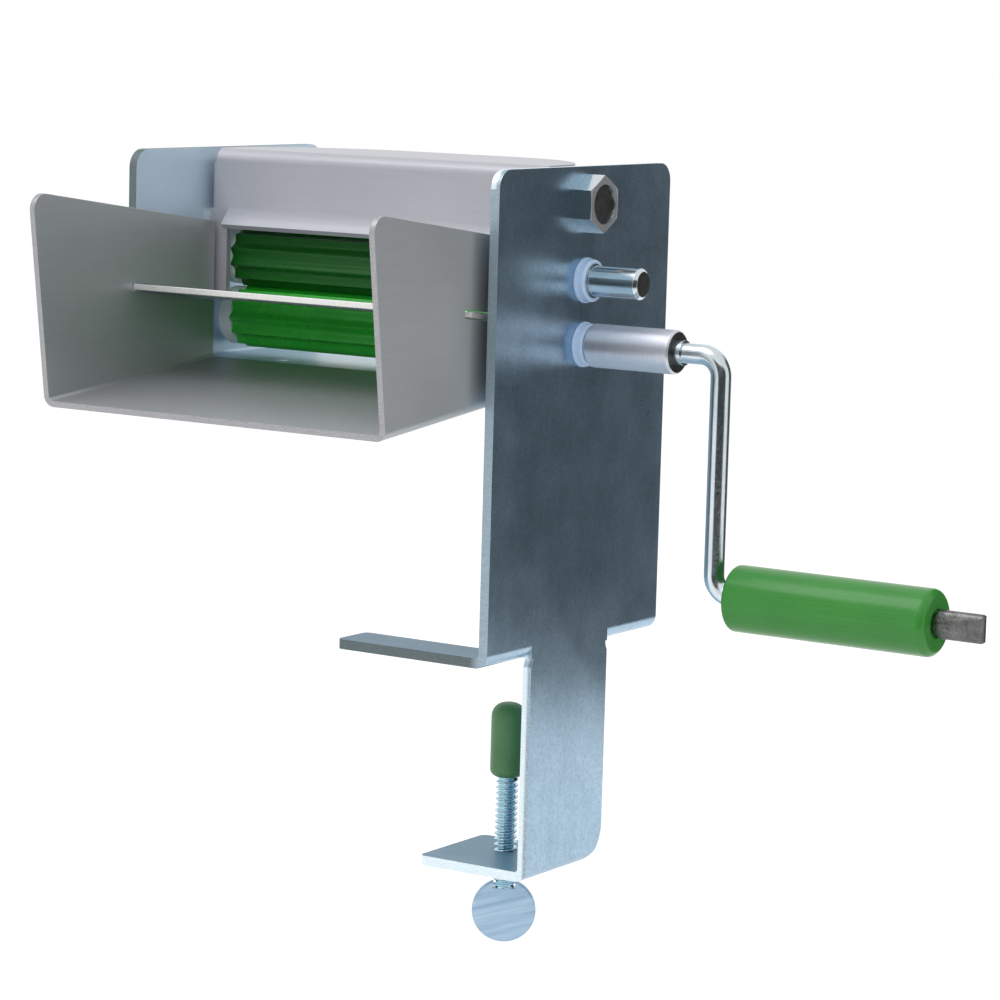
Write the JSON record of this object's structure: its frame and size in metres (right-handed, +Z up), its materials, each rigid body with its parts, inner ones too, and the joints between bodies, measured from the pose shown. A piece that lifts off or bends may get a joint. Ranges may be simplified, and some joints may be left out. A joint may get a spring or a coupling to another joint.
{
  "type": "hand cranked pea sheller",
  "caption": "Table-clamped pea sheller: crank-driven fluted rollers between sheet side plates, with a feed shelf above a catch tray.",
  "frame": {"origin": "on the inner face of the clamp plate's leg, at the middle of the plate's depth and level with the table top, where the edge of the table meets the clamp", "axes": "+X towards the crank, -Y towards the mouth of the tray, +Z up; the table lies on the -X side"},
  "size_m": [0.3022, 0.1587, 0.2547],
  "materials": {
    "zinc_sheet": "zinc plated, satin with a bluish cast",
    "tray_sheet": "satin, brushed",
    "guard_sheet": "satin, pale lilac grey",
    "bright_steel": "bright zinc",
    "sleeve_metal": "turned, satin",
    "roller_green": "glossy",
    "grip_green": "glossy",
    "pad_green": "soft, semi-gloss",
    "white_plastic": "smooth"
  },
  "bodies": {
    "frame": {"clamp_plate": "zinc_sheet", "side_plate": "zinc_sheet", "guard": "guard_sheet", "tray": "tray_sheet", "feed_shelf": "tray_sheet", "tray_screws": "bright_steel", "tie_bolt": "bright_steel", "tie_spacer": "bright_steel", "ear_washers": "bright_steel", "tie_washer": "bright_steel", "tie_nut": "bright_steel", "upper_bush_right": "white_plastic", "upper_bush_left": "white_plastic", "lower_bush_right": "white_plastic", "lower_bush_left": "white_plastic"},
    "crank": {"lower_shaft": "bright_steel", "lower_roller": "roller_green", "lower_disc_right": "white_plastic", "lower_disc_left": "white_plastic", "lower_ring": "bright_steel", "crank_sleeve": "sleeve_metal", "crank_rod": "bright_steel"},
    "idler": {"upper_shaft": "bright_steel", "upper_roller": "roller_green", "upper_disc_right": "white_plastic", "upper_disc_left": "white_plastic", "upper_ring": "bright_steel"},
    "handle": {"grip": "grip_green"},
    "pad": {"clamp_pad": "pad_green"},
    "screw": {"clamp_screw": "bright_steel", "turn_disc": "bright_steel"}
  },
  "joints": [
    {"name": "crank_turn", "type": "hinge", "parent": "frame", "child": "crank", "pos_m": [0, 0, 0.0981], "axis": [1, 0, 0], "continuous": true},
    {"name": "idler_turn", "type": "hinge", "parent": "frame", "child": "idler", "pos_m": [0, 0, 0.1185], "axis": [1, 0, 0], "continuous": true},
    {"name": "grip_turn", "type": "hinge", "parent": "crank", "child": "handle", "pos_m": [0.09675, 0, 0.0231], "axis": [1, 0, 0], "continuous": true},
    {"name": "clamp_travel", "type": "slide", "parent": "frame", "child": "pad", "axis": [0, 0, 1], "range_m": [-0.0235, 0.0061]},
    {"name": "screw_turn", "type": "hinge", "parent": "pad", "child": "screw", "pos_m": [-0.0203, -0.001, -0.05], "axis": [0, 0, 1], "range_deg": [-4464, 1164]}
  ],
  "couplings": [
    {"joint": "idler_turn", "follows": "crank_turn", "ratio": -1},
    {"joint": "screw_turn", "follows": "clamp_travel", "rad_per_m": 3306.9}
  ]
}
